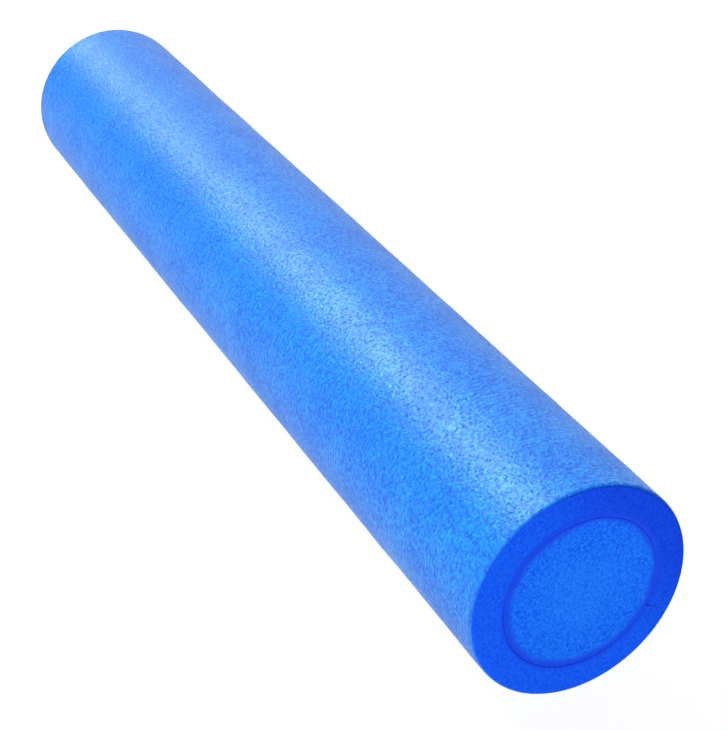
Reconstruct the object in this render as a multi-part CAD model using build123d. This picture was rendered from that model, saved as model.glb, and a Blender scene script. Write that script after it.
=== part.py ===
from build123d import *
import os

# Long solid foam roller for exercise and massage, lying on its side.
#
# The roller is one firm cylinder of closed-cell polyethylene foam, laid up in rings. A round
# extruded core runs its whole length. A thick foam sheet is rolled round the core, welded to
# it with hot air, and closed by a butt weld where the sheet's two long edges meet. Heated
# rollers then press the outside into a thin tough skin, and a blade trims both ends square.
#
# Row frame: +Z is up and +Y runs along the roller's length. The origin is on the floor, under
# the middle of the roller. All sizes are in millimetres.

# Driving dimensions
ROLLER_LENGTH = 900.0
ROLLER_DIAMETER = 150.0
CORE_DIAMETER = 105.0
CORE_OFFSET = 1.5  # how far the core sits off the roller's centre line, towards +X
BOND_THICKNESS = 1.6  # foam that melted where the sheet meets the core
SKIN_THICKNESS = 1.0
SEAM_WIDTH = 1.2
SEAM_ANGLE = -28.0  # degrees from +X towards +Z, so the seam lies low on the +X side
RIM_RADIUS = 2.5  # round on the outer edge of each end
LIP_RADIUS = 0.8  # round on the two edges that face each other across the ring groove
GROOVE_DEPTH = 0.7  # the weld shrinks back this far below each end face

# Sizes that follow from them
ROLLER_RADIUS = ROLLER_DIAMETER / 2
AXIS_HEIGHT = ROLLER_RADIUS
CORE_RADIUS = CORE_DIAMETER / 2
BOND_RADIUS = CORE_RADIUS + BOND_THICKNESS
WRAP_RADIUS = ROLLER_RADIUS - SKIN_THICKNESS
WELD_LENGTH = ROLLER_LENGTH - 2 * GROOVE_DEPTH
CENTRE_LINE = Pos(0, 0, AXIS_HEIGHT)
CORE_LINE = Pos(CORE_OFFSET, 0, AXIS_HEIGHT)


def rod(line, radius, length):
    """A cylinder along Y about one of the two lines, centred on the roller's middle."""
    return line * Rot(X=90) * Cylinder(radius, length)


def end_edges(solid, radius):
    """The circles of one radius at the two ends of a solid."""
    circles = solid.edges().filter_by(GeomType.CIRCLE)
    return circles.filter_by(lambda edge: abs(edge.radius - radius) < 0.01)


def envelope():
    """The roller's outer shape: a cylinder with both rims rounded."""
    blank = rod(CENTRE_LINE, ROLLER_RADIUS, ROLLER_LENGTH)
    return fillet(end_edges(blank, ROLLER_RADIUS), RIM_RADIUS)


def seam_slot(length):
    """A thin slab from the core's line out past the skin, where the sheet's edges meet."""
    reach = ROLLER_DIAMETER
    slab = Pos(reach / 2, 0, 0) * Box(reach, length, SEAM_WIDTH)
    return CORE_LINE * Rot(Y=-SEAM_ANGLE) * slab


def core_rod():
    """Extruded foam core, the full length of the roller."""
    blank = rod(CORE_LINE, CORE_RADIUS, ROLLER_LENGTH)
    return fillet(end_edges(blank, CORE_RADIUS), LIP_RADIUS)


def core_bond():
    """Tube of melted foam that holds the rolled sheet to the core."""
    return rod(CORE_LINE, BOND_RADIUS, WELD_LENGTH) - rod(CORE_LINE, CORE_RADIUS, WELD_LENGTH)


def outer_wrap():
    """Thick foam sheet rolled round the core, with a narrow gap where its edges meet."""
    inside = rod(CORE_LINE, BOND_RADIUS, ROLLER_LENGTH)
    ring = envelope() & rod(CENTRE_LINE, WRAP_RADIUS, ROLLER_LENGTH)
    sleeve = ring - inside
    sleeve = fillet(end_edges(sleeve, BOND_RADIUS), LIP_RADIUS)
    return sleeve - seam_slot(ROLLER_LENGTH)


def wrap_seam_weld():
    """Weld along the whole sheet, filling the gap between its two edges."""
    sheet = rod(CENTRE_LINE, WRAP_RADIUS, WELD_LENGTH) - rod(CORE_LINE, BOND_RADIUS, WELD_LENGTH)
    return sheet & seam_slot(WELD_LENGTH)


def outer_skin():
    """Pressed skin round the outside, turned over with the rim at each end."""
    return envelope() - rod(CENTRE_LINE, WRAP_RADIUS, ROLLER_LENGTH)


NODES = {
    "core_rod": core_rod,
    "core_bond": core_bond,
    "outer_wrap": outer_wrap,
    "wrap_seam_weld": wrap_seam_weld,
    "outer_skin": outer_skin,
}

os.makedirs("parts", exist_ok=True)
for node, make in NODES.items():
    export_step(make(), f"parts/{node}.step")
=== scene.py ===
import math

import bpy
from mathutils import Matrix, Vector


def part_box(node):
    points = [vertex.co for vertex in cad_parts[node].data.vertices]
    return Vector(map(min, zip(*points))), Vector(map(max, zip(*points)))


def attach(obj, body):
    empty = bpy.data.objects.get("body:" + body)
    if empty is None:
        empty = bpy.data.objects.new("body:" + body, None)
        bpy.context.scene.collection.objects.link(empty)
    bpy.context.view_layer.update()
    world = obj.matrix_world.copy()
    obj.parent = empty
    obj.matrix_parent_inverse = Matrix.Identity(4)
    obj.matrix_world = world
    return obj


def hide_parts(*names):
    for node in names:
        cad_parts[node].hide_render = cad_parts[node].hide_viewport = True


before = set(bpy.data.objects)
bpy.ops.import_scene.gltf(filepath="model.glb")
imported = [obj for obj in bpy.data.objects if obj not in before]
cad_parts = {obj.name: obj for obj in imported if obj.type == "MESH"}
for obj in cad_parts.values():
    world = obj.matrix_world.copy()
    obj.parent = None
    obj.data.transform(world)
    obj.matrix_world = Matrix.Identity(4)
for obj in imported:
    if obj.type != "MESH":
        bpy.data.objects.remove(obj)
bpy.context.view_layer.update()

# ---- Foam core --------------------------------------------------------------------------------
# The core is one extruded rod of closed-cell polyethylene foam (EPE), 105 mm across, sawn to
# length. The saw opens the cells, so each end is matt and pitted, and the heat of the weld
# around it leaves its edge rounded.
MM = 0.001
core_low, core_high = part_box("core_rod")
roller_length = core_high.y - core_low.y
axis_height = (core_low.z + core_high.z) / 2
core_x = (core_low.x + core_high.x) / 2
core_radius = (core_high.z - core_low.z) / 2
CORE_LIP = 0.8 * MM
LIP_STEPS = 4
CORE_GRID = 128  # quads across a cut end, about 0.8 mm each
CORE_EDGE = 3 * MM  # the relief of a cut end fades out over this last stretch before the lip
SAME_PLACE = 0.05 * MM  # points this close to a plane or a circle lie on it
DOUBLED = 0.01 * MM  # points this close to each other are one


def deselect_all():
    """Leaves nothing selected, because an operator acts on every selected object."""
    if bpy.context.mode != "OBJECT":
        bpy.ops.object.mode_set(mode="OBJECT")
    bpy.ops.object.select_all(action="DESELECT")


def begin_piece(name):
    """Names the primitive that was just added and puts its place into its mesh."""
    piece = bpy.context.object
    piece.name = name
    piece.data.name = name
    bpy.ops.object.transform_apply(location=True, rotation=True, scale=True)
    return piece


def select_points(piece, test):
    """Opens the piece in edit mode with only the points that pass the test selected."""
    if bpy.context.mode != "OBJECT":
        bpy.ops.object.mode_set(mode="OBJECT")
    bpy.ops.object.mode_set(mode="EDIT")
    bpy.ops.mesh.select_mode(type="VERT")
    bpy.ops.mesh.select_all(action="DESELECT")
    bpy.ops.object.mode_set(mode="OBJECT")
    for point in piece.data.vertices:
        point.select = test(point.co)
    bpy.ops.object.mode_set(mode="EDIT")


def close_mesh(piece):
    """Merges doubled points, turns every face outwards and leaves edit mode."""
    if bpy.context.mode == "OBJECT":
        bpy.ops.object.mode_set(mode="EDIT")
    bpy.ops.mesh.select_all(action="SELECT")
    bpy.ops.mesh.remove_doubles(threshold=DOUBLED)
    bpy.ops.mesh.normals_make_consistent(inside=False)
    bpy.ops.object.mode_set(mode="OBJECT")


def radius_about(point, x):
    """How far a point is from the line along Y at this x and the roller's height."""
    return math.hypot(point.x - x, point.z - axis_height)


def ramp(value, low, high):
    """0 at low, 1 at high, and a smooth step between them."""
    share = min(max((value - low) / (high - low), 0.0), 1.0)
    return share * share * (3 - 2 * share)


def weigh_points(piece, name, weight):
    """A vertex group whose weights, from 0 to 1, come from a function of each point's place."""
    group = piece.vertex_groups.new(name=name)
    for point in piece.data.vertices:
        amount = weight(point.co)
        if amount > 0:
            group.add([point.index], amount, "REPLACE")


def press_relief(piece, group, size, height):
    """Raises and sinks the grouped points along their normals by a fixed cloudy pattern."""
    pattern = bpy.data.textures.new(f"{piece.name} relief", "CLOUDS")
    pattern.noise_scale = size
    relief = piece.modifiers.new("relief", "DISPLACE")
    relief.texture = pattern
    relief.texture_coords = "LOCAL"
    relief.vertex_group = group
    relief.strength = height
    relief.mid_level = 0.5
    bpy.ops.object.modifier_apply(modifier=relief.name)


deselect_all()
bpy.ops.mesh.primitive_cylinder_add(
    vertices=4 * CORE_GRID, radius=core_radius, depth=roller_length - 2 * CORE_LIP,
    end_fill_type="NOTHING", location=(core_x, 0, axis_height), rotation=(math.pi / 2, 0, 0))
core = begin_piece("foam_core")
for end in (-1, 1):
    edge = end * (roller_length / 2 - CORE_LIP)
    select_points(core, lambda point: abs(point.y - edge) < SAME_PLACE)
    ring_radius, ring_y = core_radius, edge
    for step in range(1, LIP_STEPS + 1):
        turn = math.pi / 2 * step / LIP_STEPS
        next_radius = core_radius - CORE_LIP * (1 - math.cos(turn))
        next_y = edge + end * CORE_LIP * math.sin(turn)
        bpy.ops.mesh.extrude_region_move(
            TRANSFORM_OT_translate={"value": (0, next_y - ring_y, 0)})
        shrink = next_radius / ring_radius
        bpy.ops.transform.resize(
            value=(shrink, 1, shrink), center_override=(core_x, next_y, axis_height))
        ring_radius, ring_y = next_radius, next_y
    bpy.ops.mesh.fill_grid(span=CORE_GRID)
close_mesh(core)
weigh_points(core, "cut ends", lambda point: (
    ramp(core_radius - CORE_LIP - radius_about(point, core_x), 0, CORE_EDGE)
    if abs(point.y) > roller_length / 2 - SAME_PLACE else 0))
press_relief(core, "cut ends", size=18 * MM, height=0.6 * MM)
press_relief(core, "cut ends", size=2.4 * MM, height=0.3 * MM)
bpy.ops.object.shade_smooth()


def hex_linear(code):
    """An sRGB hex colour as the linear RGBA that a shader socket takes."""
    channels = [int(code[start:start + 2], 16) / 255 for start in (1, 3, 5)]
    linear = [c / 12.92 if c <= 0.04045 else ((c + 0.055) / 1.055) ** 2.4 for c in channels]
    return (*linear, 1.0)


def add_node(tree, kind, inputs, **settings):
    """Adds one node: settings are its properties, and inputs are values or the sockets that feed it."""
    node = tree.nodes.new(kind)
    for name, value in settings.items():
        setattr(node, name, value)
    for name, value in inputs.items():
        if isinstance(value, bpy.types.NodeSocket):
            tree.links.new(value, node.inputs[name])
        else:
            node.inputs[name].default_value = value
    return node


def begin_material(name):
    """A named node material that holds its output and the place of each point."""
    material = bpy.data.materials.new(name)
    material.use_nodes = True
    tree = material.node_tree
    tree.nodes.clear()
    output = add_node(tree, "ShaderNodeOutputMaterial", {})
    place = add_node(tree, "ShaderNodeTexCoord", {}).outputs["Object"]
    return material, tree, output, place


def wear(piece, material):
    """Gives the whole piece one material."""
    piece.data.materials.clear()
    piece.data.materials.append(material)


def foam_grain(tree, place, patch, cell, crispness):
    """Foam cells of this size in patches of this size: 0 is a dark hollow and 1 is a pale top."""
    clump = add_node(tree, "ShaderNodeTexNoise", {
        "Vector": place, "Scale": 1 / patch, "Detail": 5.0, "Roughness": 0.75})
    bubble = add_node(tree, "ShaderNodeTexVoronoi", {"Vector": place, "Scale": 1 / cell})
    dome = add_node(tree, "ShaderNodeMapRange", {
        "Value": bubble.outputs["Distance"], "From Min": 0.0, "From Max": 0.8,
        "To Min": 1.0, "To Max": 0.0})
    return add_node(tree, "ShaderNodeMix", {
        0: crispness, 2: clump.outputs[0], 3: dome.outputs[0]}).outputs[0]


def open_pores(tree, place, spacing, size, depth):
    """This depth inside scattered pores of about this size across, and 0 on the foam between them."""
    scatter = add_node(tree, "ShaderNodeTexVoronoi", {"Vector": place, "Scale": 1 / spacing})
    return add_node(tree, "ShaderNodeMapRange", {
        "Value": scatter.outputs["Distance"], "From Min": 0.3 * size / spacing,
        "From Max": 0.8 * size / spacing, "To Min": depth, "To Max": 0.0}).outputs[0]


def out_from_core(tree, place):
    """The arrow straight out from the core's axis to each point."""
    arrow = add_node(tree, "ShaderNodeVectorMath", {
        0: place, 1: (core_x, 0, axis_height)}, operation="SUBTRACT").outputs[0]
    return add_node(tree, "ShaderNodeVectorMath", {
        0: arrow, 1: (1, 0, 1)}, operation="MULTIPLY").outputs[0]


def ring_shade(tree, place, edge, far, share):
    """This share at one distance from the core's axis, falling to 0 at the far one by an uneven edge."""
    distance = add_node(tree, "ShaderNodeVectorMath", {
        0: out_from_core(tree, place)}, operation="LENGTH").outputs["Value"]
    wander = add_node(tree, "ShaderNodeTexNoise", {
        "Vector": place, "Scale": 1 / (25 * MM), "Detail": 1.0})
    uneven = add_node(tree, "ShaderNodeMath", {
        0: wander.outputs[0], 1: far - edge, 2: distance}, operation="MULTIPLY_ADD").outputs[0]
    middle = (far - edge) / 2  # half of what the wander adds
    return add_node(tree, "ShaderNodeMapRange", {
        "Value": uneven, "From Min": edge + middle, "From Max": far + middle,
        "To Min": share, "To Max": 0.0}, interpolation_type="SMOOTHSTEP").outputs[0]


# Sawn polyethylene foam. The opened cells of 1 to 2 mm scatter the light, so there is hardly any
# gloss, the deeper pores are dark, and the ring next to the weld is melted, denser and darker.
core_cut, tree, output, place = begin_material("sawn EPE core foam")
cells = foam_grain(tree, place, 2.6 * MM, 1.6 * MM, 0.25)
pores = open_pores(tree, place, 4 * MM, 1.2 * MM, 0.4)
tone = add_node(tree, "ShaderNodeMapRange", {
    "Value": cells, "From Min": 0.36, "From Max": 0.64}).outputs[0]
foam = add_node(tree, "ShaderNodeMix", {
    0: tone, 6: hex_linear("#0A57EE"), 7: hex_linear("#2482FF")}, data_type="RGBA").outputs[2]
foam = add_node(tree, "ShaderNodeMix", {
    0: pores, 6: foam, 7: hex_linear("#0A37B4")}, data_type="RGBA").outputs[2]
pale_middle = ring_shade(tree, place, 0, core_radius, 0.25)
foam = add_node(tree, "ShaderNodeMix", {
    0: pale_middle, 6: foam, 7: hex_linear("#2490FF")}, data_type="RGBA").outputs[2]
melted = ring_shade(tree, place, core_radius, core_radius - 5 * MM, 1.0)
foam = add_node(tree, "ShaderNodeMix", {
    0: melted, 6: foam, 7: hex_linear("#184AE6")}, data_type="RGBA").outputs[2]
hollows = add_node(tree, "ShaderNodeMath", {
    0: pores, 1: -2.5, 2: cells}, operation="MULTIPLY_ADD").outputs[0]
bump = add_node(tree, "ShaderNodeBump", {"Height": hollows, "Strength": 1.0, "Distance": 0.3 * MM})
shader = add_node(tree, "ShaderNodeBsdfPrincipled", {
    "Base Color": foam, "Roughness": 0.9, "IOR": 1.5, "Specular IOR Level": 0.05,
    "Normal": bump.outputs[0]})
tree.links.new(shader.outputs[0], output.inputs["Surface"])
wear(core, core_cut)
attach(core, "root")
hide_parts("core_rod")

# ---- Bond -------------------------------------------------------------------------------------
# Hot air melts the sheet and the core together as the sheet is rolled on. What is left is a thin
# tube of solid-looking polyethylene, which sinks below the cut ends as it cools.
bond_low, bond_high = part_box("core_bond")
bond_radius = (bond_high.z - bond_low.z) / 2
BOND_BELOW = 0.45 * MM  # how far its end lies below the cut foam, on average
BOND_STEPS = 256
BOND_CUTS = 3  # across its end
CRISP = math.radians(40)  # an edge that turns more than this stays sharp


def add_section(name, axis_x, low_radius, high_radius, half_length):
    """A flat rectangle on the +X side of a line along Y: across it is the radius."""
    deselect_all()
    bpy.ops.mesh.primitive_plane_add(
        size=1, location=(axis_x + (low_radius + high_radius) / 2, 0, axis_height))
    bpy.context.object.scale = (high_radius - low_radius, 2 * half_length, 1)
    return begin_piece(name)


def round_corners(piece, x, size, steps):
    """Rounds the section's two corners at this x."""
    select_points(piece, lambda point: abs(point.x - x) < SAME_PLACE)
    bpy.ops.mesh.bevel(offset=size, segments=steps, profile=0.5, affect="VERTICES")


def spin_section(piece, axis_x, first_turn, turn, steps):
    """Spins the section about a line along Y, from the first turn on, both from +X towards +Z."""
    full = math.isclose(turn, 2 * math.pi)
    select_points(piece, lambda point: True)
    if full:
        bpy.ops.mesh.delete(type="ONLY_FACE")
        bpy.ops.mesh.select_all(action="SELECT")
    bpy.ops.mesh.spin(
        steps=steps, angle=turn, center=(axis_x, 0, axis_height), axis=(0, 1, 0),
        use_auto_merge=full)
    bpy.ops.mesh.select_all(action="SELECT")
    bpy.ops.transform.rotate(
        value=first_turn, orient_axis="Y", center_override=(axis_x, 0, axis_height))
    close_mesh(piece)


bond = add_section("bond_film", core_x, core_radius, bond_radius, roller_length / 2 - BOND_BELOW)
for end in (-1, 1):
    select_points(bond, lambda point: point.y * end > bond_high.y)
    bpy.ops.mesh.subdivide(number_cuts=BOND_CUTS)
spin_section(bond, core_x, 0, 2 * math.pi, BOND_STEPS)
# Its walls stay true to the foam on both sides, and only the melted ends ripple.
weigh_points(bond, "cut ends", lambda point: (
    abs(point.y) > bond_high.y
    and core_radius + SAME_PLACE < radius_about(point, core_x) < bond_radius - SAME_PLACE))
press_relief(bond, "cut ends", size=6 * MM, height=0.4 * MM)
bpy.ops.object.shade_smooth_by_angle(angle=CRISP)

# Melted polyethylene foam. The cells have collapsed, so it is dense, dark and faintly shiny, with
# soft ripples a few millimetres long where it froze.
bond_melt, tree, output, place = begin_material("melted EPE bond")
ripples = add_node(tree, "ShaderNodeTexNoise", {
    "Vector": place, "Scale": 1 / (5 * MM), "Detail": 2.0}).outputs[0]
tone = add_node(tree, "ShaderNodeMapRange", {
    "Value": ripples, "From Min": 0.3, "From Max": 0.7}).outputs[0]
film = add_node(tree, "ShaderNodeMix", {
    0: tone, 6: hex_linear("#1644E0"), 7: hex_linear("#1A50F0")}, data_type="RGBA").outputs[2]
bump = add_node(tree, "ShaderNodeBump", {"Height": ripples, "Strength": 1.0, "Distance": 0.4 * MM})
shader = add_node(tree, "ShaderNodeBsdfPrincipled", {
    "Base Color": film, "Roughness": 0.7, "IOR": 1.5, "Specular IOR Level": 0.06,
    "Normal": bump.outputs[0]})
tree.links.new(shader.outputs[0], output.inputs["Surface"])
wear(bond, bond_melt)
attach(bond, "root")
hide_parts("core_bond")

# ---- Foam wrap --------------------------------------------------------------------------------
# The wrap is a sheet of finer EPE about 20 mm thick, rolled once round the core, so it is a long
# C in section. Its two long edges don't quite meet, and a weld fills what is left.
wrap_low, wrap_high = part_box("outer_wrap")
weld_low, weld_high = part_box("wrap_seam_weld")
wrap_radius = (wrap_high.z - wrap_low.z) / 2
skin_low, skin_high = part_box("outer_skin")
roller_radius = (skin_high.z - skin_low.z) / 2
SEAM_WIDTH = 1.2 * MM
RIM_ROUND = 2.5 * MM
RIM_STEPS = 6
WRAP_LIP = 0.8 * MM
WRAP_STEPS = 400
WRAP_CUTS = 20  # across a cut end, for rows of about 1 mm
SHADED_TURN = math.radians(38)  # from +X towards +Z, the middle of the side that is painted darker as shade
weld_middle = (weld_low + weld_high) / 2
seam_turn = math.atan2(weld_middle.z - axis_height, weld_middle.x - core_x)
seam_share = SEAM_WIDTH / ((bond_radius + wrap_radius) / 2)


def past_seam_by(point):
    """How far round the outside of the roller a point is from the seam, either way."""
    turn = abs(math.atan2(point.z - axis_height, point.x) - seam_turn)
    return min(turn, 2 * math.pi - turn) * roller_radius


def cut_section(piece, x, keep):
    """Cuts the section along its length at this x and keeps its inside or its outside."""
    bpy.ops.mesh.select_all(action="SELECT")
    bpy.ops.mesh.bisect(
        plane_co=(x, 0, axis_height), plane_no=(1, 0, 0),
        clear_inner=keep == "outside", clear_outer=keep == "inside")


wrap = add_section("foam_wrap", 0, bond_radius, roller_radius, roller_length / 2)
round_corners(wrap, roller_radius, RIM_ROUND, RIM_STEPS)
round_corners(wrap, bond_radius, WRAP_LIP, LIP_STEPS)
cut_section(wrap, wrap_radius, "inside")
select_points(wrap, lambda point: abs(point.y) > roller_length / 2 - SAME_PLACE)
bpy.ops.mesh.subdivide(number_cuts=WRAP_CUTS)
spin_section(wrap, 0, seam_turn + seam_share / 2, 2 * math.pi - seam_share, WRAP_STEPS)
# The hole follows the core, which is off the centre line, and the rim stays where it is.
select_points(wrap, lambda point: radius_about(point, 0) < bond_radius + WRAP_LIP + SAME_PLACE)
bpy.ops.transform.translate(
    value=(core_x, 0, 0), use_proportional_edit=True, proportional_edit_falloff="LINEAR",
    proportional_size=roller_radius - RIM_ROUND - bond_radius - WRAP_LIP)
close_mesh(wrap)
# The relief fades out towards the ring, the rim and the seam.
weigh_points(wrap, "cut ends", lambda point: (
    ramp(radius_about(point, core_x), bond_radius + WRAP_LIP, bond_radius + 4 * MM)
    * (1 - ramp(radius_about(point, 0), roller_radius - 6 * MM, roller_radius - RIM_ROUND))
    * ramp(past_seam_by(point), 1 * MM, 6 * MM)
    if abs(point.y) > roller_length / 2 - SAME_PLACE else 0))
press_relief(wrap, "cut ends", size=20 * MM, height=0.5 * MM)
press_relief(wrap, "cut ends", size=2.4 * MM, height=0.2 * MM)
bpy.ops.object.shade_smooth_by_angle(angle=CRISP)

# Sawn polyethylene foam again, but of finer and more even cells, so it is smoother and deeper in
# colour than the core, with fewer pores and the same dark melted ring along the weld. The cut end
# is painted darker towards the upper +X side, as painted shade.
wrap_cut, tree, output, place = begin_material("sawn EPE wrap foam")
cells = foam_grain(tree, place, 2.6 * MM, 1.5 * MM, 0.25)
pores = open_pores(tree, place, 5 * MM, 1.2 * MM, 0.3)
tone = add_node(tree, "ShaderNodeMapRange", {
    "Value": cells, "From Min": 0.32, "From Max": 0.68}).outputs[0]
# Painted shade: a darker copy of the same foam colours is blended in towards the upper +X side of the
# cut end.
foam_unshaded = add_node(tree, "ShaderNodeMix", {
    0: tone, 6: hex_linear("#084CEA"), 7: hex_linear("#1A6AFF")}, data_type="RGBA").outputs[2]
foam_painted_shade = add_node(tree, "ShaderNodeMix", {
    0: tone, 6: hex_linear("#073AD6"), 7: hex_linear("#1553EE")}, data_type="RGBA").outputs[2]
shaded_side = (math.cos(SHADED_TURN), 0, math.sin(SHADED_TURN))
towards_it = add_node(tree, "ShaderNodeVectorMath", {
    0: out_from_core(tree, place), 1: shaded_side}, operation="DOT_PRODUCT").outputs["Value"]
painted_shade_share = add_node(tree, "ShaderNodeMapRange", {
    "Value": towards_it, "From Min": 5 * MM, "From Max": bond_radius}).outputs[0]
foam = add_node(tree, "ShaderNodeMix", {0: painted_shade_share, 6: foam_unshaded, 7: foam_painted_shade}, data_type="RGBA").outputs[2]
foam = add_node(tree, "ShaderNodeMix", {
    0: pores, 6: foam, 7: hex_linear("#0A30B0")}, data_type="RGBA").outputs[2]
melted = ring_shade(tree, place, bond_radius, bond_radius + 3.5 * MM, 0.9)
foam = add_node(tree, "ShaderNodeMix", {
    0: melted, 6: foam, 7: hex_linear("#1545E0")}, data_type="RGBA").outputs[2]
hollows = add_node(tree, "ShaderNodeMath", {
    0: pores, 1: -3.3, 2: cells}, operation="MULTIPLY_ADD").outputs[0]
bump = add_node(tree, "ShaderNodeBump", {"Height": hollows, "Strength": 1.0, "Distance": 0.25 * MM})
shader = add_node(tree, "ShaderNodeBsdfPrincipled", {
    "Base Color": foam, "Roughness": 0.9, "IOR": 1.5, "Specular IOR Level": 0.05,
    "Normal": bump.outputs[0]})
tree.links.new(shader.outputs[0], output.inputs["Surface"])
wear(wrap, wrap_cut)
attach(wrap, "root")
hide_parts("outer_wrap")

# ---- Wrap seam --------------------------------------------------------------------------------
# A hot blade passes between the sheet's two edges and presses them together. The melted foam
# fills the gap along the whole length and is sawn off flush at the ends.
WELD_BELOW = 0.04 * MM  # how far its ends lie below the cut foam, which is all but flush
WELD_STEPS = 2
weld = add_section("wrap_seam", 0, bond_radius + core_x * math.cos(seam_turn), wrap_radius,
                   roller_length / 2 - WELD_BELOW)
round_corners(weld, wrap_radius, RIM_ROUND - (roller_radius - wrap_radius), LIP_STEPS)
spin_section(weld, 0, seam_turn - seam_share / 2, seam_share, WELD_STEPS)
bpy.ops.object.shade_smooth_by_angle(angle=CRISP)

# Melted polyethylene foam, sawn across: a little denser and darker than the sheet on each side.
weld_melt, tree, output, place = begin_material("melted EPE seam")
ripples = add_node(tree, "ShaderNodeTexNoise", {
    "Vector": place, "Scale": 1 / (3 * MM), "Detail": 3.0}).outputs[0]
tone = add_node(tree, "ShaderNodeMapRange", {
    "Value": ripples, "From Min": 0.3, "From Max": 0.7}).outputs[0]
film = add_node(tree, "ShaderNodeMix", {
    0: tone, 6: hex_linear("#0B42DA"), 7: hex_linear("#125CF6")}, data_type="RGBA").outputs[2]
bump = add_node(tree, "ShaderNodeBump", {"Height": ripples, "Strength": 1.0, "Distance": 0.2 * MM})
shader = add_node(tree, "ShaderNodeBsdfPrincipled", {
    "Base Color": film, "Roughness": 0.7, "IOR": 1.5, "Specular IOR Level": 0.15,
    "Normal": bump.outputs[0]})
tree.links.new(shader.outputs[0], output.inputs["Surface"])
wear(weld, weld_melt)
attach(weld, "root")
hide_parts("wrap_seam_weld")

# ---- Skin -------------------------------------------------------------------------------------
# Heated rollers press the outside of the wrap into a tough skin about 1 mm thick, which turns
# over with the rim at each end. It is the same foam with its outer cells squeezed flat, so the
# bigger cells still show through as a pebbled, slightly uneven surface.
SKIN_STEPS = 216
SKIN_FACE = 0.1 * MM  # from this far below the outside on up, the relief is whole
RIB_PITCH = 4 * MM  # faint ribs round the roller, where the pressing rollers chattered
SEAM_DIP = 0.4 * MM  # how far the skin sinks over the weld
SEAM_DIP_REACH = 5 * MM  # and how far to each side of it
SKIN_ROWS = (20, 19)  # cuts along the length, one set inside the other, for 420 rows of about 2 mm
skin = add_section("pressed_skin", 0, wrap_radius - RIM_ROUND, roller_radius, roller_length / 2)
round_corners(skin, roller_radius, RIM_ROUND, RIM_STEPS)
cut_section(skin, wrap_radius, "outside")
for cuts in SKIN_ROWS:
    select_points(skin, lambda point: abs(point.x - roller_radius) < SAME_PLACE)
    bpy.ops.mesh.subdivide(number_cuts=cuts)
spin_section(skin, 0, 0, 2 * math.pi, SKIN_STEPS)
weigh_points(skin, "outside", lambda point: ramp(
    radius_about(point, 0), wrap_radius, roller_radius - SKIN_FACE))
press_relief(skin, "outside", size=60 * MM, height=0.8 * MM)
press_relief(skin, "outside", size=5 * MM, height=0.25 * MM)
weigh_points(skin, "over the seam", lambda point: (
    1 - ramp(past_seam_by(point), 0, SEAM_DIP_REACH)
    if radius_about(point, 0) > (wrap_radius + roller_radius) / 2 else 0))
dip = skin.modifiers.new("seam dip", "DISPLACE")
dip.vertex_group = "over the seam"
dip.strength = -SEAM_DIP
dip.mid_level = 0.0
bpy.ops.object.modifier_apply(modifier=dip.name)
bpy.ops.object.shade_smooth_by_angle(angle=CRISP)

# Heat-pressed polyethylene skin. Squeezed cells of about 2 mm lie in clumps of a few millimetres,
# paler on top and darker between. The flattened tops carry a soft satin shine, tinted by the foam
# under it, and small open pores break it up as dark specks.
skin_press, tree, output, place = begin_material("heat-pressed EPE skin")
cells = foam_grain(tree, place, 3.6 * MM, 2.2 * MM, 0.22)
pores = open_pores(tree, place, 3.2 * MM, 1.1 * MM, 0.36)
clouding = add_node(tree, "ShaderNodeTexNoise", {
    "Vector": place, "Scale": 1 / (40 * MM), "Detail": 2.0}).outputs[0]
shade = add_node(tree, "ShaderNodeMath", {
    0: clouding, 1: 0.15, 2: cells}, operation="MULTIPLY_ADD").outputs[0]
tone = add_node(tree, "ShaderNodeMapRange", {
    "Value": shade, "From Min": 0.42, "From Max": 0.77}).outputs[0]
foam = add_node(tree, "ShaderNodeMix", {
    0: tone, 6: hex_linear("#0259CC"), 7: hex_linear("#2297F0")}, data_type="RGBA").outputs[2]
foam = add_node(tree, "ShaderNodeMix", {
    0: pores, 6: foam, 7: hex_linear("#0048B4")}, data_type="RGBA").outputs[2]
# The weld shows through as a faint darker line, on its own side of the roller only.
out = out_from_core(tree, place)
to_seam = (math.cos(seam_turn), 0, math.sin(seam_turn))
past_seam = (-math.sin(seam_turn), 0, math.cos(seam_turn))
beside = add_node(tree, "ShaderNodeVectorMath", {
    0: out, 1: past_seam}, operation="DOT_PRODUCT").outputs["Value"]
outward = add_node(tree, "ShaderNodeVectorMath", {
    0: out, 1: to_seam}, operation="DOT_PRODUCT").outputs["Value"]
same_side = add_node(tree, "ShaderNodeMath", {
    0: outward, 1: 0.0}, operation="GREATER_THAN").outputs[0]
gap = add_node(tree, "ShaderNodeMath", {0: beside}, operation="ABSOLUTE").outputs[0]
line = add_node(tree, "ShaderNodeMapRange", {
    "Value": gap, "From Min": 0.4 * MM, "From Max": 2 * MM, "To Min": 0.5, "To Max": 0.0}).outputs[0]
line = add_node(tree, "ShaderNodeMath", {0: line, 1: same_side}, operation="MULTIPLY").outputs[0]
foam = add_node(tree, "ShaderNodeMix", {
    0: line, 6: foam, 7: hex_linear("#0343B8")}, data_type="RGBA").outputs[2]
# Where the skin turns over with the rim, it nears the colour of the cut foam that it meets.
along = add_node(tree, "ShaderNodeSeparateXYZ", {0: place}).outputs["Y"]
from_middle = add_node(tree, "ShaderNodeMath", {0: along}, operation="ABSOLUTE").outputs[0]
rim = add_node(tree, "ShaderNodeMapRange", {
    "Value": from_middle, "From Min": roller_length / 2 - 1.6 * MM,
    "From Max": roller_length / 2 - 0.4 * MM, "To Min": 0.0, "To Max": 0.8}).outputs[0]
foam = add_node(tree, "ShaderNodeMix", {
    0: rim, 6: foam, 7: hex_linear("#1E6CFF")}, data_type="RGBA").outputs[2]
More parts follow.
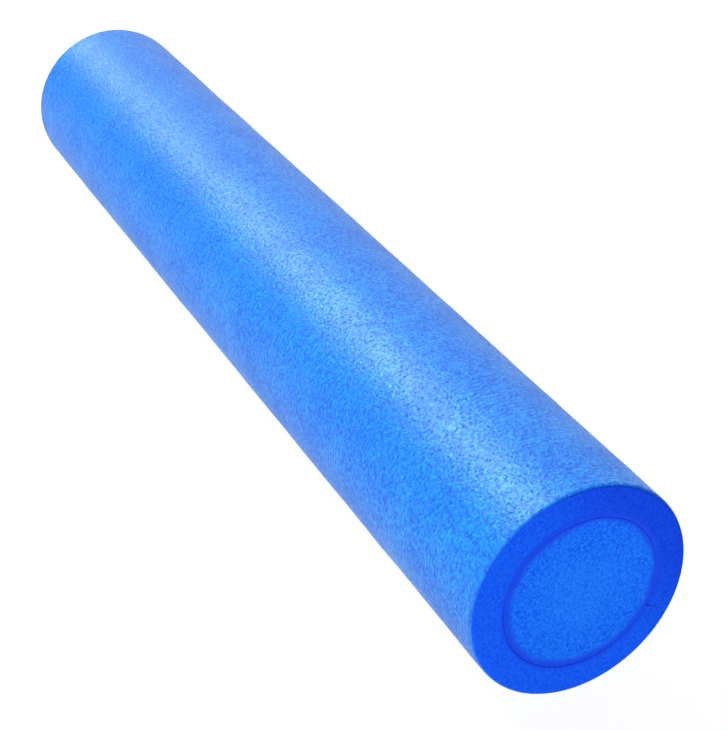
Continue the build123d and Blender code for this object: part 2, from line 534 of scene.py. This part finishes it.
# The bump is smooth dents, pores, and ribs in some places only.
dents = add_node(tree, "ShaderNodeTexNoise", {
    "Vector": place, "Scale": 1 / (2.2 * MM), "Detail": 1.0}).outputs[0]
hollows = add_node(tree, "ShaderNodeMath", {
    0: pores, 1: -1.8, 2: dents}, operation="MULTIPLY_ADD").outputs[0]
rib_scale = math.pi / 10 / RIB_PITCH  # a wave texture's bands lie pi / 10 apart at scale 1
ribs = add_node(tree, "ShaderNodeTexWave", {
    "Vector": place, "Scale": rib_scale, "Distortion": 3.0, "Detail": 2.0, "Detail Scale": 1.5},
    bands_direction="Y").outputs["Fac"]
ribbed = add_node(tree, "ShaderNodeMapRange", {
    "Value": clouding, "From Min": 0.45, "From Max": 0.6, "To Max": 0.2}).outputs[0]
height = add_node(tree, "ShaderNodeMath", {
    0: ribs, 1: ribbed, 2: hollows}, operation="MULTIPLY_ADD").outputs[0]
bump = add_node(tree, "ShaderNodeBump", {"Height": height, "Strength": 1.0, "Distance": 0.6 * MM})
flatness = add_node(tree, "ShaderNodeMath", {
    0: clouding, 1: 0.6, 2: cells}, operation="MULTIPLY_ADD").outputs[0]
satin = add_node(tree, "ShaderNodeMapRange", {
    "Value": flatness, "From Min": 0.55, "From Max": 1.05, "To Min": 0.52, "To Max": 0.41}).outputs[0]
shader = add_node(tree, "ShaderNodeBsdfPrincipled", {
    "Base Color": foam, "Roughness": satin, "IOR": 1.5, "Specular IOR Level": 0.3,
    "Specular Tint": hex_linear("#CCFFF2"), "Normal": bump.outputs[0]})
tree.links.new(shader.outputs[0], output.inputs["Surface"])
wear(skin, skin_press)
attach(skin, "root")
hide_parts("outer_skin")

# ---- Studio -----------------------------------------------------------------------------------
# The roller lies on a light table: a pale matt sheet lit softly from below as well as from above,
# so it casts hardly any shadow.
FLOOR_RADIUS = 12  # metres
deselect_all()
bpy.ops.mesh.primitive_circle_add(vertices=128, radius=FLOOR_RADIUS, fill_type="NGON")
floor = begin_piece("studio_floor")
floor_paint, tree, output, place = begin_material("matt opal acrylic")
matt = add_node(tree, "ShaderNodeBsdfDiffuse", {"Color": hex_linear("#6C6C6C")})
glow = add_node(tree, "ShaderNodeEmission", {"Color": (1.0, 1.0, 1.0, 1.0), "Strength": 0.94})
sheet = add_node(tree, "ShaderNodeAddShader", {0: matt.outputs[0], 1: glow.outputs[0]})
tree.links.new(sheet.outputs[0], output.inputs["Surface"])
wear(floor, floor_paint)

world = bpy.data.worlds.new("studio air")
world.use_nodes = True
world.node_tree.nodes["Background"].inputs["Color"].default_value = (0.1, 0.1, 0.1, 1)
world.node_tree.nodes["Background"].inputs["Strength"].default_value = 1.0
bpy.context.scene.world = world


def add_softbox(name, towards, strength, width):
    """A soft distant light that stands in this direction from the roller."""
    lamp = bpy.data.lights.new(name, "SUN")
    lamp.energy = strength
    lamp.angle = math.radians(width)
    holder = bpy.data.objects.new(name, lamp)
    bpy.context.scene.collection.objects.link(holder)
    holder.rotation_euler = Vector(towards).to_track_quat("Z", "Y").to_euler()


add_softbox("key", (-0.23, 0.66, 0.71), 4.4, 14)
add_softbox("back right", (0.45, 0.79, 0.42), 1.0, 60)
add_softbox("front left", (-0.68, -0.70, 0.14), 2.6, 60)

CAMERA_PLACE = (-0.4725, -1.1482, 0.7070)
CAMERA_TURN = math.radians(-25.22)  # from +Y, so it looks across the roller towards +X
CAMERA_FALL = math.radians(29.67)  # how far it looks down
CAMERA_LENS = 85.12
camera_data = bpy.data.cameras.new("studio camera")
camera_data.sensor_width = 36
camera_data.lens = CAMERA_LENS
camera = bpy.data.objects.new("studio camera", camera_data)
camera.location = CAMERA_PLACE
camera.rotation_euler = (math.pi / 2 - CAMERA_FALL, 0, CAMERA_TURN)
bpy.context.scene.collection.objects.link(camera)
bpy.context.scene.camera = camera
bpy.context.scene.view_settings.view_transform = "Standard"
